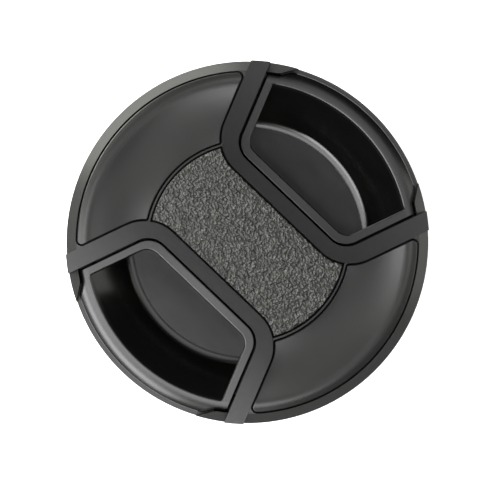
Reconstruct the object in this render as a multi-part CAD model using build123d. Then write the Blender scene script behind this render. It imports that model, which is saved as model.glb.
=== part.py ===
from build123d import *
import os
from math import cos, radians, sin, sqrt, tan

# Camera lens cap with two pinch levers, for a round filter thread. All sizes are in millimetres.
# The cap lies on its back: +Z is the front face, the levers slide along X, the wings lie along Y.

# Filter thread that the cap clips into
thread_diameter = 58.0
thread_pitch = 0.75
tooth_count = 3
tooth_tip_clearance = 0.1
tooth_flank_angle = 30.0
tooth_tip_width = 0.08

# Round outline, measured inwards or outwards from the thread
flange_overhang = 2.0
flange_draft = 0.12
spigot_clearance = 0.7
rim_width = 1.8
rim_drop = 1.4
ring_wall = 2.1
skirt_wall = 1.4

# Heights, measured from the rear face of the back plate
cap_height = 10.0
seat_height = 4.5
flange_web = 1.2
rim_top_drop = 1.1
skirt_setback = 0.25
seat_relief = 0.15
spigot_land = 1.5
spigot_taper = 0.4

# Gently domed front sheet
dome_drop = 0.6
top_wall = 0.9

# Bands: the raised frame that bows round each finger well
window_straight = 10.0
band_width = 2.45
arm_angle = 20.7
arm_distance = 8.35
arm_width = 3.1
window_corner = 4.0
band_corner = 7.0
band_edge_round = 0.2

# Centre panel, the low ledge round its ends, and the fine grooves between the fields
panel_radius = 16.6
panel_drop = 0.2
panel_edge_round = 0.25
panel_corner = 0.6
ledge_width = 0.85
ledge_drop = 0.52
ledge_groove_depth = 0.25
groove_width = 0.28

# Wings: dished fields with an outer edge that rolls down to the rim
wing_low_drop = 1.65
wing_low_inset = 2.85
wing_crest_drop = 0.65
wing_edge_drop = 1.05
wing_roll_width = 1.55
wing_crest_round = 3.5
wing_wall = 1.1
wing_corner = 0.8
wing_inner_corner = 0.3
wing_edge_round = 0.2
wing_groove_depth = 0.35
wing_seat_width = 1.0

# Notch in the rim at each lever
notch_mouth_angle = 27.0
notch_end_angle = 33.0
notch_round = 1.5
notch_ledge_chamfer = 0.15

# Levers
lever_travel = 2.5
lever_gap = 0.22
lever_top_clearance = 0.15
lever_slope = 3.5
lever_inner_wall = 1.8
lever_side_wall = 1.65
lever_floor = 1.2
lever_shelf_gap = 0.3
lip_setback = 0.9
lip_width = 2.65
lip_fall = 0.85
scoop_width = 6.9
scoop_sag = 0.1
scoop_wall = 1.2
floor_fillet = 2.5
well_corner = 2.6
lever_corner = 0.6
lever_edge_round = 0.3
slide_clearance = 0.15
stop_gap = 0.1

# Catch behind the shoulder
catch_width = 18.0
catch_window_gap = 0.4
catch_inset = 0.3
catch_wall = 1.6
catch_setback = 0.3
catch_rib = 1.2

# Guides, springs and their seats
ear_reach = 19.0
guide_gap = 0.3
guide_rib_wall = 1.2
guide_rib_start = 4.0
spring_height = 3.9
spring_outer_diameter = 3.0
wire_diameter = 0.36
open_turns = 5
closed_turns = 1
closed_turn_gap = 0.04
steps_per_turn = 12
spring_seat_gap = 0.05
web_half_thickness = 0.7
ear_front = 10.05
ear_tab_wall = 1.2
ear_tab_width = 2.8
ear_tab_rise = 2.0
nub_diameter = 1.8
nub_length = 1.4

# Back plate and the posts staked through it
plate_thickness = 1.2
plate_edge_gap = 0.05
plate_lever_gap = 0.4
post_diameter = 2.6
pin_diameter = 1.6
pin_hole_gap = 0.1
stake_head_diameter = 2.6
stake_head_height = 0.35
stake_recess_gap = 0.2
stake_head_setback = 0.1
post_inset = 3.5
post_angle = 72.5
middle_post_offset = 9.0

# Sizes worked out from those above
thread_radius = thread_diameter / 2
flange_radius = thread_radius + flange_overhang
spigot_radius = thread_radius - spigot_clearance
skirt_radius = spigot_radius - skirt_wall
cavity_radius = flange_radius - ring_wall
rim_radius = flange_radius - rim_width
rim_edge_radius = flange_radius - flange_draft
seat_radius = rim_radius
web_top = seat_height + flange_web
rim_top = cap_height - rim_top_drop
wing_outer_radius = rim_radius - groove_width
wing_inner_radius = panel_radius + ledge_width
wing_crest_radius = wing_outer_radius - wing_roll_width
wing_low_radius = wing_inner_radius + wing_low_inset
wing_low = cap_height - wing_low_drop
wing_crest = cap_height - wing_crest_drop
wing_edge = cap_height - wing_edge_drop
wing_underside = wing_low - wing_wall
wing_groove_floor = wing_low - wing_groove_depth
lip_radius = flange_radius - lip_setback
well_radius = lip_radius - lip_width
scoop_radius = well_radius - scoop_width
floor_bottom = plate_thickness + slide_clearance
floor_top = floor_bottom + lever_floor
shelf_height = web_top + lever_shelf_gap
ear_radius = skirt_radius - stop_gap
catch_radius = spigot_radius - catch_inset
catch_inner_radius = catch_radius - catch_wall
window_half_width = catch_width / 2 + catch_window_gap
spring_offset = ear_reach - ear_tab_width / 2
plate_radius = skirt_radius - plate_edge_gap
far = 2 * flange_radius
touch = 0.01
steep = 0.5
dome_radius = (flange_radius**2 + dome_drop**2) / (2 * dome_drop)


def dome_height(radius):
    """Height of the domed front at a distance from the axis."""
    return cap_height - dome_radius + sqrt(dome_radius**2 - radius**2)


lever_top = dome_height(window_straight) - top_wall - lever_top_clearance
lip_start = lever_top - (well_radius - window_straight) * tan(radians(lever_slope))
lip_end = lip_start - lip_fall


def polar(radius, angle):
    """Point at a radius and an angle in degrees from +X."""
    return (radius * cos(radians(angle)), radius * sin(radians(angle)))


def prism(face, low, high):
    """Straight solid over a flat outline, between two heights."""
    return extrude(Pos(0, 0, low) * face, high - low)


def turned(points):
    """Ring turned about the axis from a closed outline of (radius, height) points."""
    return revolve(Plane.XZ * make_face(Polyline(*points, close=True)), Axis.Z)


def block(low, high):
    """Box between two corners."""
    size = [b - a for a, b in zip(low, high)]
    middle = [(a + b) / 2 for a, b in zip(low, high)]
    return Pos(*middle) * Box(*size)


def mirrored_pair(shape, plane):
    """A shape and its mirror image."""
    return shape + mirror(shape, plane)


def outer_edges(faces):
    """Edges that border a patch of faces, without those that two of its faces share."""
    edges = [e for f in faces for e in f.edges()]
    return [e for e in edges if sum(e.is_same(other) for other in edges) == 1]


def edges_over(outline, faces):
    """Edges of some faces that lie straight above the border of a flat outline."""
    def beside(edge):
        foot = Vertex(edge.center().X, edge.center().Y, 0)
        return min(foot.distance_to(line) for line in outline.edges()) < touch

    return [e for f in faces for e in f.edges() if beside(e)]


def top_faces(lever_solid):
    """The sloping top and the rolled lip of a lever."""
    return [f for f in lever_solid.faces() if f.center().Z > lip_end and f.normal_at().Z > steep]


def under_dome(drop):
    """Solid disc below the domed front, lowered by a drop."""
    heights = [dome_height(r) - drop for r in (0, flange_radius / 2, flange_radius)]
    top = ThreePointArc((0, heights[0]), (flange_radius / 2, heights[1]), (flange_radius, heights[2]))
    sides = Polyline((flange_radius, heights[2]), (flange_radius, 0), (0, 0), (0, heights[0]))
    return revolve(Plane.XZ * make_face([top, sides]), Axis.Z)


def grip_outline(straight, distance, corner):
    """Flat outline open towards +X: a straight inner edge, rounded corners and two spreading arms."""
    def arm_y(x):
        return (distance + x * sin(radians(arm_angle))) / cos(radians(arm_angle))

    face = make_face(Polyline(
        (straight, -arm_y(straight)), (far, -arm_y(far)), (far, arm_y(far)), (straight, arm_y(straight)),
        close=True,
    ))
    return fillet(face.vertices().sort_by(Axis.X)[:2], corner)


def notch_outline():
    """Flat outline of the room inside the rim for the right lever, with a slanted notch through the rim."""
    end_x, end_y = polar(rim_radius, notch_end_angle)
    mouth_x, mouth_y = polar(flange_radius, notch_mouth_angle)
    out_x, out_y = 2 * mouth_x - end_x, 2 * mouth_y - end_y
    wedge = make_face(Polyline(
        (0, 0), (end_x, -end_y), (out_x, -out_y), (far, -out_y), (far, out_y), (out_x, out_y), (end_x, end_y),
        close=True,
    ))
    face = Circle(rim_radius) + wedge
    upper_end = face.vertices().sort_by_distance((end_x, end_y))[0]
    lower_end = face.vertices().sort_by_distance((end_x, -end_y))[0]
    return fillet([upper_end, lower_end], notch_round)


window_outline = grip_outline(window_straight, arm_distance, window_corner) & notch_outline()
band_outline = grip_outline(window_straight - band_width, arm_distance + arm_width, band_corner)
both_bands = band_outline + mirror(band_outline, Plane.YZ)
well_outline = grip_outline(
    window_straight + lever_gap + lever_inner_wall,
    arm_distance - lever_gap - lever_side_wall,
    well_corner,
) & Circle(well_radius)


def lever_plan():
    """Flat outline of the right lever's top, a gap inside its window, with rounded outer corners."""
    face = offset(window_outline, -lever_gap) & Circle(lip_radius)
    across = face.vertices().sort_by(Axis.Y)
    outwards = face.vertices().sort_by_distance((0, 0))
    return fillet([across[0], across[-1]] + outwards[-2:], lever_corner)


lever_outline = lever_plan()


def wing_outline():
    """Flat outline of the upper wing, between the two bands."""
    upper_half = Pos(0, far / 2) * Rectangle(2 * far, far)
    ring = Circle(wing_outer_radius) - Circle(wing_inner_radius)
    face = (ring - offset(both_bands, groove_width)) & upper_half
    face = fillet(face.vertices().sort_by(Axis.Y)[-2:], wing_corner)
    return fillet(face.vertices().sort_by(Axis.Y)[:2], wing_inner_corner)


def front_ring():
    """Outer ring with the chamfered rim, the seating shoulder and the spigot skirt behind it."""
    rear_radius = spigot_radius - spigot_taper
    land_top = seat_height + seat_relief
    land_start = land_top - spigot_land
    inner_edge = cavity_radius - groove_width
    return turned([
        (skirt_radius, skirt_setback), (rear_radius, skirt_setback), (rear_radius, land_start - spigot_taper),
        (spigot_radius, land_start), (spigot_radius, land_top), (seat_radius, land_top),
        (seat_radius, seat_height), (flange_radius, seat_height), (rim_edge_radius, rim_top - rim_drop),
        (rim_radius, rim_top),
        (inner_edge, rim_top), (inner_edge, wing_underside), (cavity_radius, wing_underside),
        (cavity_radius, web_top), (skirt_radius, web_top),
    ])


def bands():
    """The two raised bands with rounded edges, each bowed round its window and ending at the rim."""
    inside = grip_outline(window_straight, arm_distance, window_corner)
    outline = (both_bands - inside - mirror(inside, Plane.YZ)) & Circle(rim_edge_radius)
    solid = prism(outline, rim_top - rim_drop, cap_height) & under_dome(0)
    rounded = [fillet(s.faces().sort_by(Axis.Z)[-1].edges(), band_edge_round) for s in solid.solids()]
    return rounded[0] + rounded[1] - hollow_front()


def hollow_front():
    """Room behind the domed sheet."""
    return prism(Circle(cavity_radius), 0, cap_height) & under_dome(top_wall)


def front_sheet():
    """Domed sheet at the ledge's level."""
    return prism(Circle(cavity_radius), web_top, cap_height) & under_dome(ledge_drop) - hollow_front()


def panel():
    """Raised centre panel with rounded edges."""
    outline = Circle(panel_radius) - offset(both_bands, groove_width)
    by_height = outline.vertices().sort_by(Axis.Y)
    outline = fillet(by_height[:2] + by_height[-2:], panel_corner)
    pad = prism(outline, wing_low, cap_height) & under_dome(panel_drop)
    return fillet(pad.faces().sort_by(Axis.Z)[-1].edges(), panel_edge_round) - hollow_front()


def panel_groove():
    """Fine groove round both ends of the panel, sunk into the ledge."""
    ring = Circle(panel_radius + groove_width) - Circle(panel_radius) - both_bands
    floor = dome_height(panel_radius) - ledge_drop - ledge_groove_depth
    return prism(ring, floor, cap_height)


def wing_pad(outline):
    """Dished wing field whose outer edge rolls down to the groove at the rim."""
    run = wing_crest_radius - wing_low_radius
    rise = wing_crest - wing_low
    sweep_radius = (run**2 + rise**2) / (2 * rise)
    start = wing_low + sweep_radius - sqrt(sweep_radius**2 - wing_low_inset**2)
    dish = ThreePointArc(
        (wing_inner_radius, start), (wing_low_radius, wing_low), (wing_crest_radius, wing_crest)
    )
    roll = Polyline(
        (wing_crest_radius, wing_crest), (wing_outer_radius, wing_edge), (wing_outer_radius, wing_underside),
        (wing_inner_radius, wing_underside), (wing_inner_radius, start),
    )
    profile = make_face([dish, roll])
    crest = profile.vertices().sort_by_distance((wing_crest_radius, wing_crest))[:1]
    profile = fillet(crest, wing_crest_round)
    solid = prism(outline, wing_underside, cap_height) & revolve(Plane.XZ * profile, Axis.Z)
    return fillet(outer_edges([f for f in solid.faces() if f.normal_at().Z > steep]), wing_edge_round)


def wing():
    """Upper wing: its seat under the bands and the ledge, the groove round it and the dished field."""
    outline = wing_outline()
    seat = offset(outline, wing_seat_width) & Circle(cavity_radius)
    seat_top = dome_height(cavity_radius) - ledge_drop
    groove = prism(offset(outline, groove_width), wing_groove_floor, 2 * cap_height)
    return prism(seat, wing_underside, seat_top), groove, wing_pad(outline)


def lever_window():
    """Room for the right lever: the opening in the front, the chamfer on the ledge that is left of the rim
    in the notch, and the slot for its catch behind the shoulder."""
    opening = prism(window_outline, web_top, 2 * cap_height)
    inner = flange_radius - notch_ledge_chamfer
    bevel = turned([
        (inner, web_top), (flange_radius, web_top - notch_ledge_chamfer), (flange_radius, web_top),
    ])
    bevel = bevel & prism(window_outline, 0, cap_height)
    slot = (Pos(far / 2, 0) * Rectangle(far, 2 * window_half_width)) & Circle(seat_radius)
    slot = slot - Circle(skirt_radius - skirt_wall)
    return opening + bevel + prism(slot, -cap_height, web_top)


def post_places():
    """Places of the six posts: four on a circle near the skirt, two on the middle line."""
    x, y = polar(skirt_radius - post_inset, post_angle)
    outer = [(x, y), (-x, y), (-x, -y), (x, -y)]
    return outer + [(0, middle_post_offset), (0, -middle_post_offset)]


def posts():
    """Posts that hold the back plate: a boss, a pin through the plate and the staked head."""
    group = []
    for x, y in post_places():
        boss_top = dome_height(middle_post_offset) - top_wall + ledge_drop / 2
        if abs(y) > wing_inner_radius:
            boss_top = wing_underside + wing_groove_depth
        at = Pos(x, y)
        group.append(at * prism(Circle(post_diameter / 2), plate_thickness, boss_top))
        group.append(at * prism(Circle(pin_diameter / 2), stake_head_setback, plate_thickness))
        head_top = stake_head_setback + stake_head_height
        group.append(at * prism(Circle(stake_head_diameter / 2), stake_head_setback, head_top))
    return group


def nub(x, direction):
    """Short peg along X that a spring's end sits on."""
    peg = Rot(0, 90 * direction, 0) * prism(Circle(nub_diameter / 2), 0, nub_length)
    return Pos(x, spring_offset, spring_height) * peg


def guides():
    """Ribs beside the ears of the levers and the webs that the springs push against, for all four corners."""
    rib_y = ear_reach + guide_gap
    top = wing_underside + wing_groove_depth
    rib = block((guide_rib_start, rib_y, floor_bottom), (cavity_radius, rib_y + guide_rib_wall, top))
    rib = rib & prism(Circle(skirt_radius + skirt_wall / 2), floor_bottom, top)
    half_width = ear_tab_width / 2 + guide_gap
    web = block(
        (0, spring_offset - half_width, floor_bottom), (web_half_thickness, spring_offset + half_width, top)
    )
    quarter = rib + web + nub(web_half_thickness, 1)
    return mirrored_pair(mirrored_pair(quarter, Plane.YZ), Plane.XZ)


def front_body():
    """The front moulding as one solid."""
    seat, groove, pad = wing()
    body = front_ring() + front_sheet() + bands() + panel() + mirrored_pair(seat, Plane.XZ)
    body = body - mirrored_pair(groove, Plane.XZ) + mirrored_pair(pad, Plane.XZ)
    body = body - panel_groove() - mirrored_pair(lever_window(), Plane.YZ)
    for piece in [guides()] + posts():
        body = body + piece
    return body


def lever_cap():
    """Solid disc whose top slopes gently outwards and rolls over at the lever's outer lip."""
    slope = tan(radians(lever_slope))
    crown = lever_top + window_straight * slope
    roll = TangentArc((well_radius, lip_start), (lip_radius, lip_end), tangent=(1, -slope))
    rest = Polyline((lip_radius, lip_end), (lip_radius, 0), (0, 0), (0, crown), (well_radius, lip_start))
    return revolve(Plane.XZ * make_face([roll, rest]), Axis.Z)


def finger_well():
    """Room for a fingertip: a flat floor, upright inner and side walls, and a scooped outer slope."""
    run, rise = well_radius - scoop_radius, lip_start - floor_top
    slope = sqrt(run**2 + rise**2)
    middle = (
        scoop_radius + run / 2 + scoop_sag * rise / slope,
        floor_top + rise / 2 - scoop_sag * run / slope,
    )
    scoop = ThreePointArc((scoop_radius, floor_top), middle, (well_radius, lip_start))
    rest = Polyline(
        (well_radius, lip_start), (well_radius, 2 * cap_height), (0, 2 * cap_height), (0, floor_top),
        (scoop_radius, floor_top),
    )
    profile = make_face([scoop, rest])
    foot = profile.vertices().sort_by_distance((scoop_radius, floor_top))[:1]
    profile = fillet(foot, floor_fillet)
    return prism(well_outline, floor_top, 2 * cap_height) & revolve(Plane.XZ * profile, Axis.Z)


def scoop_hollow():
    """Room left open behind the scooped slope, so that its wall stays thin."""
    run, rise = well_radius - scoop_radius, lip_start - floor_top
    slope = sqrt(run**2 + rise**2)
    depth = scoop_sag + scoop_wall
    start_r = scoop_radius + depth * rise / slope
    start_z = floor_top - depth * run / slope
    end_z = start_z + (catch_inner_radius - start_r) * rise / run
    wedge = turned([(start_r, start_z), (catch_inner_radius, start_z), (catch_inner_radius, end_z)])
    between_ribs = Rectangle(2 * far, catch_width - 2 * catch_rib) & Circle(catch_inner_radius)
    return wedge & prism(well_outline & (between_ribs + Circle(ear_radius - catch_rib)), 0, cap_height)


def catch():
    """Curved wall behind the shoulder with teeth that clip into the filter thread."""
    width = Pos(far / 2, 0) * Rectangle(far, catch_width)
    wall = prism((Circle(catch_radius) - Circle(catch_inner_radius)) & width, catch_setback, shelf_height)
    tip_radius = thread_radius - tooth_tip_clearance
    reach = (tip_radius - spigot_radius) * tan(radians(tooth_flank_angle))
    half_tip = tooth_tip_width / 2
    for i in range(tooth_count):
        z = catch_setback + (i + 0.5) * thread_pitch + half_tip
        ridge = turned([
            (catch_radius - catch_wall / 2, z - reach - half_tip), (spigot_radius, z - reach - half_tip),
            (tip_radius, z - half_tip), (tip_radius, z + half_tip), (spigot_radius, z + reach + half_tip),
            (catch_radius - catch_wall / 2, z + reach + half_tip),
        ])
        wall = wall + (ridge & prism(width, 0, shelf_height))
    return wall


def ears():
    """Guide ears on both sides of the lever's floor, each with an upright tab and a nub for its spring."""
    sheet = (Pos(ear_front + far / 2, 0) * Rectangle(far, 2 * ear_reach)) & Circle(ear_radius)
    tab = block(
        (ear_front, spring_offset - ear_tab_width / 2, floor_bottom),
        (ear_front + ear_tab_wall, spring_offset + ear_tab_width / 2, spring_height + ear_tab_rise),
    )
    tab = tab + nub(ear_front, -1)
    return prism(sheet, floor_bottom, floor_top) + mirrored_pair(tab, Plane.XZ)


def lever():
    """Right lever as one solid, with the edges of its top and of the well rounded."""
    upper = prism(lever_outline, shelf_height, cap_height) & lever_cap()
    upper = fillet(outer_edges(top_faces(upper)), lever_edge_round)
    lower = prism(lever_outline & Circle(ear_radius), floor_bottom, shelf_height)
    solid = upper + lower + catch() + ears() - finger_well() - scoop_hollow()
    return fillet(edges_over(well_outline, top_faces(solid)), lever_edge_round)


def back_plate():
    """Flat cover behind the levers, cut back for the catches and drilled for the staked posts."""
    catch_room = catch_inner_radius - lever_travel - plate_lever_gap
    slot = (Pos(far / 2, 0) * Rectangle(far, 2 * window_half_width)) - Circle(catch_room)
    outline = Circle(plate_radius) - slot - mirror(slot, Plane.YZ)
    plate = prism(outline, 0, plate_thickness)
    recess = stake_head_setback + stake_head_height
    for x, y in post_places():
        plate = plate - Pos(x, y) * prism(Circle(pin_diameter / 2 + pin_hole_gap), 0, plate_thickness)
        plate = plate - Pos(x, y) * prism(Circle(stake_head_diameter / 2 + stake_recess_gap), 0, recess)
    return plate


def coil_rise(turn, length):
    """Height of the wire's middle after some turns: close turns at both ends, open ones between."""
    close_pitch = wire_diameter + closed_turn_gap
    open_pitch = (length - 2 * closed_turns * close_pitch) / open_turns
    first = min(turn, closed_turns)
    middle = min(max(turn - closed_turns, 0), open_turns)
    last = max(turn - closed_turns - open_turns, 0)
    return (first + last) * close_pitch + middle * open_pitch


def coil_spring():
    """Compression spring along X between the web and the ear's tab, wound close at both ends."""
    start = web_half_thickness + spring_seat_gap
    end = ear_front - spring_seat_gap
    wire_radius = wire_diameter / 2
    length = end - start - wire_diameter
    coil_radius = spring_outer_diameter / 2 - wire_radius
    steps = (open_turns + 2 * closed_turns) * steps_per_turn
    turns = [i / steps_per_turn for i in range(steps + 1)]
    path = Spline(*[(*polar(coil_radius, 360 * turn), coil_rise(turn, length)) for turn in turns])
    section = Plane(origin=path @ 0, z_dir=path % 0) * Circle(wire_radius)
    coil = sweep(section, path, is_frenet=True)
    return Pos(start + wire_radius, spring_offset, spring_height) * Rot(0, 90, 0) * coil


half_turn = Rot(0, 0, 180)
right_lever = lever()
upper_spring = coil_spring()
lower_spring = Pos(0, -2 * spring_offset, 0) * upper_spring
pieces = {
    "front_body": front_body(),
    "back_plate": back_plate(),
    "lever_right": right_lever,
    "lever_left": half_turn * right_lever,
    "spring_right_upper": upper_spring,
    "spring_right_lower": lower_spring,
    "spring_left_upper": half_turn * lower_spring,
    "spring_left_lower": half_turn * upper_spring,
}

os.makedirs("parts", exist_ok=True)
for name, piece in pieces.items():
    export_step(piece, f"parts/{name}.step")
    print(name, len(piece.solids()), "solid", round(piece.volume, 1), "mm3")
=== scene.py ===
# %% [markdown]
# # A lens cap with pinch levers
# The cap was built in CAD as eight solids: the front moulding, two levers, the back plate and four
# springs. Here they get their finishes. The solids are loaded as a fixed frame, and everything else
# is set to that frame, in metres, so nothing has to be moved into place by eye.

# %% Load the frame
import math

import bpy
from mathutils import Matrix, Vector


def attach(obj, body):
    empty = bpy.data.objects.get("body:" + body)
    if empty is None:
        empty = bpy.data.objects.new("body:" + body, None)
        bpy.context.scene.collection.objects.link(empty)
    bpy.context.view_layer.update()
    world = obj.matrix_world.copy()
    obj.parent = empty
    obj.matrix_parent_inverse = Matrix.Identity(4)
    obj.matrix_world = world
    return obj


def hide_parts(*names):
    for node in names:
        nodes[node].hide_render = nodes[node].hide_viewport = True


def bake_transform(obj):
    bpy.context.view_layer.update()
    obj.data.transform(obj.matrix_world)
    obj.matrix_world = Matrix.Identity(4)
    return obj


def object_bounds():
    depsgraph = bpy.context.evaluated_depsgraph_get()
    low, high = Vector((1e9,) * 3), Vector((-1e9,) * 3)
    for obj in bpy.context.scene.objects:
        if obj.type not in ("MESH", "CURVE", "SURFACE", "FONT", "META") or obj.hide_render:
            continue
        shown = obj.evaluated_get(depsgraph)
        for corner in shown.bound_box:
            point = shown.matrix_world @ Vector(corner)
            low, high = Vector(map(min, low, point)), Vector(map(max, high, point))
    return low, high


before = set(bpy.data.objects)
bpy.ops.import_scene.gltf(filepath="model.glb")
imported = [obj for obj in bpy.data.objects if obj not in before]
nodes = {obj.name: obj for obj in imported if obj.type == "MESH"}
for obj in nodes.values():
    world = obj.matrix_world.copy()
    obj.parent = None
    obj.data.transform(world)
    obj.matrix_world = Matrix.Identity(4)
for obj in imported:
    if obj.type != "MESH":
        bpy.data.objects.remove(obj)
cad_low, cad_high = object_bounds()
mm = 0.001
print("nodes:", ", ".join(sorted(nodes)))
print("box in mm:", [round(v / mm, 2) for v in cad_high - cad_low])

# %% [markdown]
# ## The dome that the front follows
# The front of the real cap is a shallow dome, and each field of it lies on that dome or a little below
# it, so a finish can tell one field from the next by its depth. The sizes are in millimetres, and
# heights count from the rear face. The outer radius is read from the frame's box. The dome's radius
# follows from it and from how far the dome drops at the edge.

# %% Sizes of the dome
cap_height = 10.0
outer_radius = round(cad_high[0] / mm, 3)
dome_drop = 0.6
dome_radius = (outer_radius**2 + dome_drop**2) / (2 * dome_drop)
print("dome radius in mm:", round(dome_radius, 1))


# %% [markdown]
# ## A short hand for node trees
# Materials and Geometry Nodes are both made of nodes and links. Written out in full, a formula of
# five terms takes dozens of lines. This small class adds a node, feeds it numbers or other nodes'
# outputs, and returns what comes out, so that a formula reads almost as it would on paper. A function
# that adds nodes to a tree gets that tree's wiring as `w`.

# %% Node helper
class Wiring:
    """Adds nodes to one tree. A value may be a number, a vector or another node's output."""

    def __init__(self, tree):
        self.tree = tree

    def node(self, kind, **settings):
        made = self.tree.nodes.new(kind)
        for name, value in settings.items():
            setattr(made, name, value)
        return made

    def feed(self, socket, value):
        if isinstance(value, bpy.types.NodeSocket):
            self.tree.links.new(value, socket)
        else:
            socket.default_value = value

    def math(self, operation, *values):
        made = self.node("ShaderNodeMath", operation=operation)
        for socket, value in zip(made.inputs, values):
            self.feed(socket, value)
        return made.outputs[0]

    def chain(self, operation, values):
        """Joins any number of values, from left to right."""
        result = values[0]
        for value in values[1:]:
            result = self.math(operation, result, value)
        return result

    def plus(self, *values):
        return self.chain("ADD", values)

    def times(self, *values):
        return self.chain("MULTIPLY", values)

    def minus(self, first, second):
        return self.math("SUBTRACT", first, second)

    def between(self, value, low, high):
        """0 below low, 1 above high, smooth in between. It falls instead where low is the larger."""
        made = self.node("ShaderNodeMapRange", interpolation_type="SMOOTHSTEP")
        for name, number in (("Value", value), ("From Min", low), ("From Max", high)):
            self.feed(made.inputs[name], number)
        return made.outputs["Result"]

    def blend(self, share, low, high):
        """The number low where share is 0, and high where it is 1."""
        made = self.node("ShaderNodeMix", data_type="FLOAT")
        # A Mix node has the sockets of every data type. Inputs 2 and 3 take numbers, 6 and 7 colours.
        for place, value in ((0, share), (2, low), (3, high)):
            self.feed(made.inputs[place], value)
        return made.outputs[0]

    def tint(self, share, low, high):
        """The colour low where share is 0, and high where it is 1."""
        made = self.node("ShaderNodeMix", data_type="RGBA")
        for place, value in ((0, share), (6, (*low, 1)), (7, (*high, 1))):
            self.feed(made.inputs[place], value)
        return made.outputs[2]

    def noise(self, place, size_mm, detail=3.0, roughness=0.5):
        """Soft random values whose lumps are about size_mm across."""
        made = self.node("ShaderNodeTexNoise")
        self.feed(made.inputs["Vector"], place)
        made.inputs["Scale"].default_value = 1 / (size_mm * mm)
        made.inputs["Detail"].default_value = detail
        made.inputs["Roughness"].default_value = roughness
        return made.outputs["Fac"]

    def bump(self, height, depth_mm):
        """The normal of a surface whose height runs from 0 to 1 over depth_mm."""
        made = self.node("ShaderNodeBump")
        made.inputs["Distance"].default_value = depth_mm * mm
        self.feed(made.inputs["Height"], height)
        return made.outputs["Normal"]


# %% [markdown]
# ## What every finish has in common
# A finish starts as an empty material whose patterns read Object coordinates. All pieces sit at the
# frame's origin, so these are places in the frame, in metres. A CAD node takes its finish in the
# object's own slot, because its mesh is left as it is.

# %% Finish helpers
def new_finish(name):
    """An empty material with its wiring, its shader and the place of each point in the frame."""
    material = bpy.data.materials.new(name)
    material.use_nodes = True
    wiring = Wiring(material.node_tree)
    shader = material.node_tree.nodes["Principled BSDF"]
    place = wiring.node("ShaderNodeTexCoord").outputs["Object"]
    return material, wiring, shader, place


def coat(w, shader, **sockets):
    """Feeds the shader's sockets. A socket is named with underscores for spaces."""
    for name, value in sockets.items():
        w.feed(shader.inputs[name.replace("_", " ")], value)


def dress(name, material):
    """Gives a CAD node a finish."""
    for slot in nodes[name].material_slots:
        slot.link = "OBJECT"
        slot.material = material
    print(name, "is dressed in", material.name)


# %% [markdown]
# ## The front moulding
# One black moulding carries several finishes, because its mould was finished in fields. The raised
# bands are deep black. The two wings, the low ledge at the panel's ends and the chamfered rim are a
# little paler, and the rim is the roughest of them. The fine grooves between the fields get painted
# shade: their colour falls to the deep black of the bands. They are also left untextured and glossy, so
# from above they mirror the dark ceiling and read as black lines.
#
# Each field could be a piece with its own material, but the real front is one piece. So one material
# tells the fields apart by the distance from the axis, the depth below the dome and the height.

# %% Fields of the front
panel_radius = 16.6
wing_outer_radius = 29.05
wing_step = 0.16
groove_width = 0.28
wing_groove_height = 8.2
panel_groove_drop = 0.4
print("wings lie from", panel_radius, "to", wing_outer_radius, "mm off the axis")


def front_measures(w, place):
    """Distance from the axis, depth below the dome and height above the rear face, in mm."""
    split = w.node("ShaderNodeSeparateXYZ")
    w.feed(split.inputs[0], place)
    x, y, z = (w.math("DIVIDE", split.outputs[i], mm) for i in range(3))
    square = w.plus(w.times(x, x), w.times(y, y))
    fall = w.math("DIVIDE", square, 2 * dome_radius)
    depth = w.minus(w.minus(cap_height, fall), z)
    return w.math("SQRT", square), depth, z


def groove_shade_share(w, radius, depth, height):
    """1 on the groove floors round the wings and the panel, where shade is painted, 0 elsewhere."""
    inside_rim = w.math("LESS_THAN", radius, wing_outer_radius + groove_width)
    round_wing = w.times(inside_rim, w.math("LESS_THAN", height, wing_groove_height))
    near_panel = w.math("LESS_THAN", radius, panel_radius + groove_width)
    round_panel = w.times(near_panel, w.math("GREATER_THAN", depth, panel_groove_drop))
    return w.math("MAXIMUM", round_wing, round_panel)


# %% [markdown]
# ### Colour, gloss and texture of the front
# Spark erosion leaves a very fine texture in a mould, which a bump of fine noise stands for. It is
# weaker on the wings, which were polished afterwards, and it is left out of the grooves. Slow noise
# makes the gloss a little uneven, as it is on every moulding.

# %% Front moulding finish
band_black = (0.001, 0.001, 0.001)
satin_black = (0.016, 0.016, 0.0156)
wing_paleness = 0.7
rim_paleness = 0.8
band_roughness = 0.22
rim_roughness = 0.27
wing_roughness = 0.24
groove_roughness = 0.05
uneven_roughness = 0.04
wing_texture = 0.25


def front_finish():
    material, w, shader, place = new_finish("black_front_moulding")
    radius, depth, height = front_measures(w, place)
    inside = w.math("LESS_THAN", radius, wing_outer_radius)
    outside = w.math("GREATER_THAN", radius, panel_radius)
    lower = w.math("GREATER_THAN", depth, wing_step)
    wing = w.times(inside, outside, lower)
    rim = w.times(w.minus(1.0, inside), lower)
    groove_shade = groove_shade_share(w, radius, depth, height)
    plain = w.minus(1.0, groove_shade)
    pale = w.plus(w.times(wing, wing_paleness), w.times(rim, rim_paleness))
    # Painted shade: the groove floors take the deep black of the bands instead of the paler field
    # colour.
    colour = w.tint(w.times(pale, plain), band_black, satin_black)
    cloud = w.noise(place, size_mm=6.0, detail=4.0)
    rough = w.blend(wing, w.blend(rim, band_roughness, rim_roughness), wing_roughness)
    rough = w.plus(rough, w.times(cloud, uneven_roughness))
    rough = w.blend(groove_shade, rough, groove_roughness)
    spark = w.noise(place, size_mm=0.09, detail=2.0)
    texture = w.times(spark, w.times(w.blend(wing, 1.0, wing_texture), plain))
    coat(w, shader, Base_Color=colour, Roughness=rough, Normal=w.bump(texture, depth_mm=0.004))
    return material


dress("front_body", front_finish())

# %% [markdown]
# ## The levers
# The levers are as black as the bands. Fingertips press on the slope of each well and polish it, while
# its floor, its lip and the frame round it stay as moulded. So the slope gets a lower roughness than
# the rest, and is found by its height and its distance from the axis. Smears of skin are long and soft:
# they come from noise that is stretched along the cap's Y axis, across the direction of the pinch.

# %% Slope of a well
well_radius = 27.3
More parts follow.
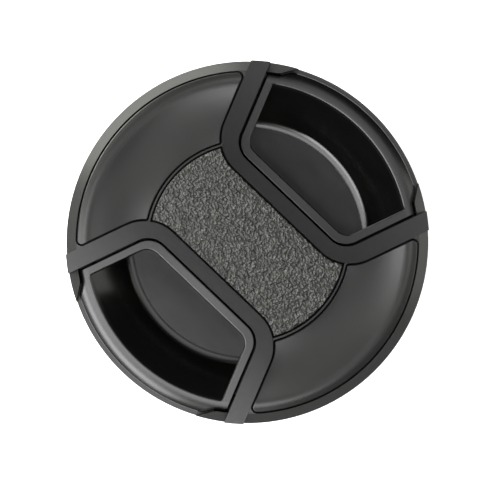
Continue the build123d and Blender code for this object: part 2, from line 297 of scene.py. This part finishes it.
# Heights over which the polish sets in above the floor, and over which it fades below the frame.
slope_foot = (2.75, 3.0)
slope_head = (7.6, 7.3)
print("polish from", slope_foot[0], "to", slope_head[0], "mm above the rear face")


def slope_share(w, place):
    """1 on the slope of a well, 0 on its floor, on the lip and on the lever's frame."""
    radius, _, height = front_measures(w, place)
    above_floor = w.between(height, *slope_foot)
    below_frame = w.between(height, *slope_head)
    return w.times(above_floor, below_frame, w.math("LESS_THAN", radius, well_radius))


# %% Lever finish
clean_black = (0.0006, 0.0006, 0.0006)
smeared_black = (0.0014, 0.0014, 0.0013)
moulded_roughness = (0.2, 0.28)
polished_roughness = (0.1, 0.16)
smear_stretch = (1.0, 0.35, 1.0)


def lever_finish():
    material, w, shader, place = new_finish("black_lever_moulding")
    stretch = w.node("ShaderNodeMapping")
    stretch.inputs["Scale"].default_value = smear_stretch
    w.feed(stretch.inputs["Vector"], place)
    smear = w.noise(stretch.outputs[0], size_mm=2.2, detail=5.0, roughness=0.6)
    colour = w.tint(smear, clean_black, smeared_black)
    moulded = w.blend(smear, *moulded_roughness)
    polished = w.blend(smear, *polished_roughness)
    rough = w.blend(slope_share(w, place), moulded, polished)
    fine = w.noise(place, size_mm=0.12, detail=2.0)
    coat(w, shader, Base_Color=colour, Roughness=rough, Normal=w.bump(fine, depth_mm=0.002))
    return material


lever_plastic = lever_finish()
for lever in ("lever_right", "lever_left"):
    dress(lever, lever_plastic)

# %% [markdown]
# ## The back plate
# The plate faces the lens, so its mould is matt all over to keep stray light down. A coarser spark
# texture than the front's and a slight unevenness of colour and gloss are all that it needs.

# %% Back plate finish
plate_black = (0.017, 0.017, 0.017)
plate_grey = (0.023, 0.023, 0.023)
plate_roughness = (0.58, 0.68)


def back_finish():
    material, w, shader, place = new_finish("matt_back_plate")
    cloud = w.noise(place, size_mm=9.0)
    colour = w.tint(cloud, plate_black, plate_grey)
    rough = w.blend(cloud, *plate_roughness)
    spark = w.noise(place, size_mm=0.16)
    coat(w, shader, Base_Color=colour, Roughness=rough, Normal=w.bump(spark, depth_mm=0.008))
    return material


dress("back_plate", back_finish())

# %% [markdown]
# ## Pieces that Geometry Nodes make
# Two kinds of piece follow a rule: the leather grain of the panel and the wound springs. Each gets a
# tree with named inputs for its sizes, so a size can be changed without touching the tree. The tree
# runs on an empty object, and the result is kept as a plain mesh.

# %% Start a tree
def new_tree(name, sizes):
    """A Geometry Nodes tree with named number inputs: its wiring, those inputs and its output."""
    tree = bpy.data.node_groups.new(name, "GeometryNodeTree")
    tree.interface.new_socket("Geometry", in_out="OUTPUT", socket_type="NodeSocketGeometry")
    for label, value in sizes.items():
        kind = "NodeSocketInt" if isinstance(value, int) else "NodeSocketFloat"
        socket = tree.interface.new_socket(label, in_out="INPUT", socket_type=kind)
        socket.default_value = value
    wiring = Wiring(tree)
    given = wiring.node("NodeGroupInput").outputs
    result = wiring.node("NodeGroupOutput").inputs["Geometry"]
    return wiring, given, result


# %% Lay out points and end a tree
def lay_points(w, geometry, x, y, z):
    """Sets each point of a grid or a line to its own place."""
    place = w.node("ShaderNodeCombineXYZ")
    for socket, value in zip(place.inputs, (x, y, z)):
        w.feed(socket, value)
    moved = w.node("GeometryNodeSetPosition")
    w.feed(moved.inputs["Geometry"], geometry)
    w.feed(moved.inputs["Position"], place.outputs[0])
    return moved.outputs[0]


def finish_tree(w, geometry, material, result):
    """Ends a tree: smooth faces, no instances left, one material."""
    smooth = w.node("GeometryNodeSetShadeSmooth")
    real = w.node("GeometryNodeRealizeInstances")
    paint = w.node("GeometryNodeSetMaterial")
    paint.inputs["Material"].default_value = material
    w.feed(smooth.inputs["Geometry"], geometry)
    w.feed(real.inputs["Geometry"], smooth.outputs[0])
    w.feed(paint.inputs["Geometry"], real.outputs[0])
    w.feed(result, paint.outputs[0])


# %% Grow a piece
def grow(name, tree, sizes):
    """Runs a tree on a new object with its own sizes and keeps the result as a plain mesh."""
    seed = bpy.data.objects.new(name + "_seed", bpy.data.meshes.new(name + "_seed"))
    bpy.context.scene.collection.objects.link(seed)
    modifier = seed.modifiers.new("grow", "NODES")
    modifier.node_group = tree
    for item in tree.interface.items_tree:
        if item.in_out == "INPUT":
            modifier[item.identifier] = sizes[item.name]
    bpy.context.view_layer.update()
    ready = seed.evaluated_get(bpy.context.evaluated_depsgraph_get())
    mesh = bpy.data.meshes.new_from_object(ready)
    seed.modifiers.remove(modifier)
    bpy.data.objects.remove(seed)
    piece = bpy.data.objects.new(name, mesh)
    bpy.context.scene.collection.objects.link(piece)
    print(name, "has", len(mesh.polygons), "faces")
    return piece


# %% [markdown]
# ## The leather grain of the centre panel
# The panel of the real moulding has a grain of small pebbles, a little under half a millimetre across,
# pressed from a mould that was etched like leather. Bump alone would vanish from the exported shape,
# so the grain is real geometry: a fine grid is stretched to the panel's outline, laid on the dome,
# rolled over the rounded edge, and raised in pebbles that ride on a slow swell. A second sheet closes
# it below, inside the panel.
#
# A Voronoi texture gives round cells with creases between them. Two sizes are mixed, because leather
# isn't regular.

# %% Leather pebbles
grain_sizes = {
    "Columns": 151,
    "Rows": 301,
    "Inset": 0.05 * mm,
    "Lift": 0.012 * mm,
    "Thickness": 0.15 * mm,
    "Pebble Size": 0.44 * mm,
    "Pebble Height": 0.1 * mm,
    "Swell Height": 0.04 * mm,
    "Seed": 7.0,
}
pebble_scales_and_weights = ((1.0, 0.6), (0.7, 0.4))
pebble_smoothness = 0.25
crease_level = 0.2
crown_level = 0.75
print("pebbles in mm:", round(grain_sizes["Pebble Size"] / mm, 2))


def pebble_height(w, flat, size, seed):
    """Leather pebbles from 0 in the creases to 1 on top, in two sizes."""
    layers = []
    for scale, weight in pebble_scales_and_weights:
        cell = w.node("ShaderNodeTexVoronoi", voronoi_dimensions="4D", feature="SMOOTH_F1")
        w.feed(cell.inputs["Vector"], flat)
        w.feed(cell.inputs["W"], seed)
        w.feed(cell.inputs["Scale"], w.math("DIVIDE", 1.0, w.times(size, scale)))
        cell.inputs["Smoothness"].default_value = pebble_smoothness
        layers.append(w.times(w.minus(1.0, cell.outputs["Distance"]), weight))
    return w.between(w.plus(*layers), crease_level, crown_level)


# %% [markdown]
# ### Colour of the grain
# The colour paints shade into the relief: it is dark in the creases and paler on the tops of the
# pebbles, which are also smoother, more in some patches than in others. The colour follows the same
# pebbles as the shape, so both agree. A bump sharpens each pebble between the points of the grid.

# %% Leather grain finish
crease_shade_black = (0.002, 0.002, 0.0018)
pebble_top_grey = (0.066, 0.066, 0.06)
patch_levels = (0.36, 0.64)
faintest_patch_share = 0.2
grain_roughness = (0.42, 0.34)


def grain_finish():
    material, w, shader, place = new_finish("black_leather_grain")
    spread = w.node("ShaderNodeVectorMath", operation="MULTIPLY")
    w.feed(spread.inputs[0], place)
    w.feed(spread.inputs[1], (1.0, 1.0, 0.0))
    flat = spread.outputs[0]
    pebble = pebble_height(w, flat, grain_sizes["Pebble Size"], grain_sizes["Seed"])
    patches = w.between(w.noise(flat, size_mm=1.1), *patch_levels)
    # Painted shade in the relief: darker in the creases, paler on the pebble tops, more so in some
    # patches.
    relief_and_patch_share = w.times(pebble, w.blend(patches, faintest_patch_share, 1.0))
    colour = w.tint(relief_and_patch_share, crease_shade_black, pebble_top_grey)
    rough = w.blend(relief_and_patch_share, *grain_roughness)
    coat(w, shader, Base_Color=colour, Roughness=rough, Normal=w.bump(pebble, depth_mm=0.14))
    return material


# %% [markdown]
# ### Outline of the panel
# The bands that border the panel run straight in the middle and bow away towards both ends, so the
# panel's sides are lines that flare out in arcs. Its ends are parts of a circle. The half width depends
# on the place along the panel and the length on the place across it, so the half width is worked out
# twice: first from a rough length, then from the length that this gives.

# %% Stretch a grid to the panel
flare_x = 14.55
flare_y = 10.26
flare_radius = 7.28
panel_corner_y = 14.26
print("panel width in the middle in mm:", round(2 * (flare_x - flare_radius), 2))


def side_of_panel(w, y, inset):
    """Half width of the panel at a place along it: straight in the middle, flared at both ends."""
    over = w.math("MAXIMUM", w.minus(w.math("ABSOLUTE", y), flare_y * mm), 0.0)
    bow = w.plus(flare_radius * mm, inset)
    under_root = w.minus(w.times(bow, bow), w.times(over, over))
    return w.minus(flare_x * mm, w.math("SQRT", w.math("MAXIMUM", under_root, 0.0)))


def end_of_panel(w, x, inset):
    """Distance of the panel's round end from the pinch axis at a place across the panel."""
    reach = w.minus(panel_radius * mm, inset)
    return w.math("SQRT", w.minus(w.times(reach, reach), w.times(x, x)))


def stretch_to_panel(w, across, along, inset):
    """Where the points of a grid from -1 to 1 lie on the panel, and how far from its edge."""
    half = side_of_panel(w, w.times(along, panel_corner_y * mm), inset)
    half = side_of_panel(w, w.times(along, end_of_panel(w, half, inset)), inset)
    x = w.times(across, half)
    end = end_of_panel(w, x, inset)
    y = w.times(along, end)
    to_side = w.minus(half, w.math("ABSOLUTE", x))
    to_end = w.minus(end, w.math("ABSOLUTE", y))
    return x, y, w.math("MINIMUM", to_side, to_end)


# %% [markdown]
# ### Height of the grain
# Below the grain lies the panel's own surface, a little lower than the dome and rounded at its edge.
# The grain adds a small lift, the pebbles and the swell to it.

# %% Heights on the panel
panel_drop = 0.2
panel_edge_round = 0.25
swell_levels = (0.3, 0.7)
print("panel height on the axis in mm:", round(cap_height - panel_drop, 2))


def panel_ground(w, x, y, to_edge):
    """Height of the panel below the grain: the lowered dome, rolled over at the edge."""
    round_m = panel_edge_round * mm
    short = w.math("MAXIMUM", w.minus(round_m, to_edge), 0.0)
    rest = w.minus(round_m**2, w.times(short, short))
    roll = w.minus(round_m, w.math("SQRT", w.math("MAXIMUM", rest, 0.0)))
    square = w.plus(w.times(x, x), w.times(y, y))
    fall = w.math("DIVIDE", square, 2 * dome_radius * mm)
    return w.minus((cap_height - panel_drop) * mm, w.plus(fall, roll))


def grain_rise(w, x, y, given):
    """Height of the grain above the panel: pebbles that ride on a slow swell of the surface."""
    place = w.node("ShaderNodeCombineXYZ")
    for socket, value in zip(place.inputs, (x, y, 0.0)):
        w.feed(socket, value)
    flat = place.outputs[0]
    pebble = pebble_height(w, flat, given["Pebble Size"], given["Seed"])
    swell = w.between(w.noise(flat, size_mm=1.5, detail=1.0), *swell_levels)
    bumps = w.times(pebble, given["Pebble Height"])
    waves = w.times(swell, given["Swell Height"])
    return w.plus(bumps, waves, given["Lift"])


# %% [markdown]
# ### The sheet of grain
# The same grid is laid out twice, once on top of the grain and once below the panel's surface. Along
# the border both lie at one height, so that welding the points there leaves a closed piece.

# %% Two sheets that meet at the border
weld_distance = 0.0005 * mm


def square_grid(w, given):
    """A grid that runs from -1 to 1 both ways, with the place of each point across and along it."""
    grid = w.node("GeometryNodeMeshGrid")
    grid.inputs["Size X"].default_value = 2.0
    grid.inputs["Size Y"].default_value = 2.0
    w.feed(grid.inputs["Vertices X"], given["Columns"])
    w.feed(grid.inputs["Vertices Y"], given["Rows"])
    spot = w.node("ShaderNodeSeparateXYZ")
    w.feed(spot.inputs[0], w.node("GeometryNodeInputPosition").outputs[0])
    return grid.outputs[0], spot.outputs[0], spot.outputs[1]


def close_sheets(w, upper, lower):
    """Turns the lower sheet over and welds both along the border, where they meet."""
    flip = w.node("GeometryNodeFlipFaces")
    w.feed(flip.inputs[0], lower)
    join = w.node("GeometryNodeJoinGeometry")
    for sheet in (flip.outputs[0], upper):
        w.feed(join.inputs[0], sheet)
    weld = w.node("GeometryNodeMergeByDistance")
    weld.inputs["Distance"].default_value = weld_distance
    w.feed(weld.inputs["Geometry"], join.outputs[0])
    return weld.outputs[0]


# %% Leather grain tree
border_level = 0.9999


def grain_tree(material):
    w, given, result = new_tree("leather grain", grain_sizes)
    grid, across, along = square_grid(w, given)
    x, y, to_edge = stretch_to_panel(w, across, along, given["Inset"])
    ground = panel_ground(w, x, y, w.plus(to_edge, given["Inset"]))
    top = w.plus(ground, grain_rise(w, x, y, given))
    outermost = w.math("MAXIMUM", w.math("ABSOLUTE", across), w.math("ABSOLUTE", along))
    border = w.math("GREATER_THAN", outermost, border_level)
    bottom = w.blend(border, w.minus(ground, given["Thickness"]), top)
    upper, lower = (lay_points(w, grid, x, y, z) for z in (top, bottom))
    finish_tree(w, close_sheets(w, upper, lower), material, result)
    return w.tree


# %% Lay the grain on the panel
leather = grow("panel_grain", grain_tree(grain_finish()), grain_sizes)
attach(leather, "cap_body")

# %% [markdown]
# ## The springs
# Each lever is pushed out by two small compression springs of drawn steel wire. Drawing leaves the wire
# bright with slightly duller streaks, so both its colour and its gloss follow one noise.

# %% Spring finish
dull_steel = (0.48, 0.47, 0.45)
bright_steel = (0.62, 0.61, 0.59)
wire_roughness = (0.2, 0.36)


def wire_finish():
    material, w, shader, place = new_finish("drawn_spring_wire")
    streak = w.noise(place, size_mm=0.3, detail=4.0)
    colour = w.tint(streak, dull_steel, bright_steel)
    rough = w.blend(streak, *wire_roughness)
    coat(w, shader, Metallic=1.0, Base_Color=colour, Roughness=rough)
    return material


# %% [markdown]
# ### Path of a coil
# A spring is wound close at both ends, so that it stands flat on its seats. A coil follows a rule, so
# Geometry Nodes bend a straight line of points into it: the angle grows evenly, while the distance
# along the axis grows slowly in the closed turns and fast in the open ones. A round wire is then swept
# along it.

# %% Coil path
spring_sizes = {
    "Direction": 1.0,
    "Offset": 17.6 * mm,
    "Height": 3.9 * mm,
    "Start": 0.75 * mm,
    "End": 10.0 * mm,
    "Coil Radius": 1.32 * mm,
    "Wire Radius": 0.18 * mm,
    "Closed Gap": 0.04 * mm,
    "Open Turns": 5,
    "Closed Turns": 1,
    "Points": 197,
}
print("turns in a spring:", spring_sizes["Open Turns"] + 2 * spring_sizes["Closed Turns"])


def coil_rise(w, turn, given):
    """Distance along the axis after a number of turns, from where the wire begins."""
    closed, opened = given["Closed Turns"], given["Open Turns"]
    thick = w.times(given["Wire Radius"], 2.0)
    close_pitch = w.plus(thick, given["Closed Gap"])
    length = w.minus(w.minus(given["End"], given["Start"]), thick)
    free = w.minus(length, w.times(w.times(closed, 2.0), close_pitch))
    middle = w.math("MINIMUM", w.math("MAXIMUM", w.minus(turn, closed), 0.0), opened)
    closed_part = w.times(w.minus(turn, middle), close_pitch)
    open_part = w.times(middle, w.math("DIVIDE", free, opened))
    return w.plus(closed_part, open_part)


def coil_places(w, along, given):
    """Places on the coil for a share from 0 to 1 of its turns."""
    turns = w.plus(given["Open Turns"], w.times(given["Closed Turns"], 2.0))
    turn = w.times(along, turns)
    angle = w.times(turn, 2 * math.pi)
    out = w.times(given["Coil Radius"], w.math("SINE", angle))
    up = w.times(given["Coil Radius"], w.math("COSINE", angle))
    begin = w.plus(given["Start"], given["Wire Radius"])
    x = w.times(given["Direction"], w.plus(begin, coil_rise(w, turn, given)))
    y = w.plus(given["Offset"], w.times(given["Direction"], out))
    return x, y, w.minus(given["Height"], up)


# %% Spring tree
wire_sides = 10


def spring_tree(material):
    w, given, result = new_tree("wound spring", spring_sizes)
    line = w.node("GeometryNodeCurvePrimitiveLine")
    points = w.node("GeometryNodeResampleCurve")
    w.feed(points.inputs["Curve"], line.outputs[0])
    w.feed(points.inputs["Count"], given["Points"])
    along = w.node("GeometryNodeSplineParameter").outputs["Factor"]
    coil = lay_points(w, points.outputs[0], *coil_places(w, along, given))
    wire = w.node("GeometryNodeCurvePrimitiveCircle")
    wire.inputs["Resolution"].default_value = wire_sides
    w.feed(wire.inputs["Radius"], given["Wire Radius"])
    sweep = w.node("GeometryNodeCurveToMesh")
    sweep.inputs["Fill Caps"].default_value = True
    w.feed(sweep.inputs["Curve"], coil)
    w.feed(sweep.inputs["Profile Curve"], wire.outputs[0])
    finish_tree(w, sweep.outputs[0], material, result)
    return w.tree


# %% [markdown]
# ### Four springs from one tree
# A spring on the left is one from the right after half a turn round the cap's axis, so Direction turns
# it. The real springs shorten when a lever is pinched; here each keeps its wound length and takes the
# place of a CAD spring, which is hidden.

# %% Wind the springs
winding = spring_tree(wire_finish())
for side, direction in (("right", 1.0), ("left", -1.0)):
    for level, sign in (("upper", 1.0), ("lower", -1.0)):
        own = dict(spring_sizes, Direction=direction, Offset=sign * spring_sizes["Offset"])
        spring = grow(f"wound_spring_{side}_{level}", winding, own)
        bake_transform(spring)
        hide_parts(f"spring_{side}_{level}")

# %% [markdown]
# ## The table
# The cap lies on a white table. Lamps alone would leave it grey in places, so the table also gives off
# light of its own and shows as an even white. It lies a hair below the back plate, because two faces
# in one plane flicker.

# %% White table
table_white = (0.9, 0.9, 0.9)
table_bright = (0.92, 0.92, 0.92)
table_half = 0.8
table_z = -0.05 * mm


def table_finish():
    material, w, shader, place = new_finish("white_table")
    colour = w.tint(w.noise(place, size_mm=60.0, detail=2.0), table_white, table_bright)
    coat(w, shader, Base_Color=colour, Roughness=0.7)
    coat(w, shader, Emission_Color=(1.0, 1.0, 1.0, 1.0), Emission_Strength=0.7)
    return material


table_mesh = bpy.data.meshes.new("table")
signs = ((-1, -1), (1, -1), (1, 1), (-1, 1))
corners = [(x * table_half, y * table_half, table_z) for x, y in signs]
table_mesh.from_pydata(corners, [], [(0, 1, 2, 3)])
table_mesh.materials.append(table_finish())
table = bpy.data.objects.new("table", table_mesh)
bpy.context.scene.collection.objects.link(table)
print("table:", 2 * table_half, "m wide")

# %% [markdown]
# ## Directions of the picture
# The photograph looks straight down, and the pinch axis, the frame's X, runs up to the right in it.
# Lights and camera are placed by the picture's own right and up, so both are worked out first.

# %% Right and up in the picture
picture_turn = math.radians(46.3)
picture_right = Vector((math.cos(picture_turn), -math.sin(picture_turn), 0))
picture_up = Vector((math.sin(picture_turn), math.cos(picture_turn), 0))


def toward(azimuth, elevation):
    """Direction from the cap, in degrees. Azimuth counts from the picture's right towards its top."""
    a, e = math.radians(azimuth), math.radians(elevation)
    flat = picture_right * math.cos(a) + picture_up * math.sin(a)
    return flat * math.cos(e) + Vector((0, 0, math.sin(e)))


print("the picture's right in the frame:", [round(v, 3) for v in picture_right])

# %% [markdown]
# ## Light
# Black plastic shows little colour of its own. What the eye sees is soft light mirrored in each slope,
# so the lights are panels that stand round the cap where a slope mirrors them to the camera. Three
# stand at the lower left and two warm ones at the upper left, and these five are the brightest. Weaker
# ones fill in from the other sides. None stands straight above, because the flat floors of the grooves
# would mirror it and no longer read as black lines.

# %% Soft lights
light_distance = 0.6
white = (1.0, 1.0, 1.0)
warm_white = (1.0, 1.0, 0.93)
world_strength = 0.05


def soft_light(name, azimuth, elevation, width, height, strength, colour=white):
    """A panel that faces the cap, sized in metres. Strength is the brightness of its surface."""
    lamp = bpy.data.lights.new(name, "AREA")
    lamp.shape = "RECTANGLE"
    lamp.size = width
    lamp.size_y = height
    lamp.color = colour
    lamp.energy = strength * math.pi * width * height
    panel = bpy.data.objects.new(name, lamp)
    direction = toward(azimuth, elevation)
    panel.location = direction * light_distance
    panel.rotation_euler = direction.to_track_quat("Z", "Y").to_euler()
    bpy.context.scene.collection.objects.link(panel)
    print(name, "stands at", azimuth, "degrees,", elevation, "degrees high")


soft_light("key_low", 214, 43, width=0.5, height=0.14, strength=12.5)
soft_light("key_middle", 206, 56, width=0.5, height=0.14, strength=4.6)
soft_light("key_high", 226, 72, width=0.42, height=0.21, strength=6.1)
soft_light("left_spot", 145, 34, width=0.32, height=0.2, strength=18.0, colour=warm_white)
soft_light("left_wall", 125, 14, width=0.7, height=0.28, strength=4.4, colour=warm_white)
soft_light("top_fill", 45, 75.5, width=0.4, height=0.15, strength=2.0)
soft_light("upper_fill", 45, 60, width=0.4, height=0.25, strength=1.6)
soft_light("right_strip", 0, 38, width=0.4, height=0.2, strength=2.6, colour=warm_white)
soft_light("lower_strip", 264, 43, width=0.3, height=0.14, strength=2.0, colour=warm_white)
soft_light("right_wall", 0, 15, width=0.4, height=0.28, strength=1.3, colour=warm_white)
world = bpy.data.worlds.new("studio")
world.use_nodes = True
world.node_tree.nodes["Background"].inputs["Color"].default_value = (1.0, 1.0, 1.0, 1.0)
world.node_tree.nodes["Background"].inputs["Strength"].default_value = world_strength
bpy.context.scene.world = world
bpy.context.scene.view_settings.view_transform = "Standard"

# %% [markdown]
# ## Camera
# The camera looks straight down through a long lens, so heights hardly shift anything sideways, as in
# the photograph. How high it stands follows from the width that the picture shows at picture_plane.

# %% Overhead camera
lens_mm = 139.0
sensor_mm = 36.0
picture_width = 85.3 * mm
picture_plane = 7.5 * mm
aim_right = 0.45 * mm
aim_down = 1.31 * mm
aim = picture_right * aim_right - picture_up * aim_down
lens = bpy.data.cameras.new("overhead")
lens.lens = lens_mm
lens.sensor_width = sensor_mm
lens.clip_start = 0.01
camera = bpy.data.objects.new("overhead", lens)
back = Vector((0, 0, 1))
turn = Matrix((picture_right, picture_up, back)).transposed()
camera.matrix_world = turn.to_4x4()
camera.location = aim + back * (picture_plane + picture_width * lens_mm / sensor_mm)
bpy.context.scene.collection.objects.link(camera)
bpy.context.scene.camera = camera
print("camera height in mm:", round(camera.location.z / mm, 1))
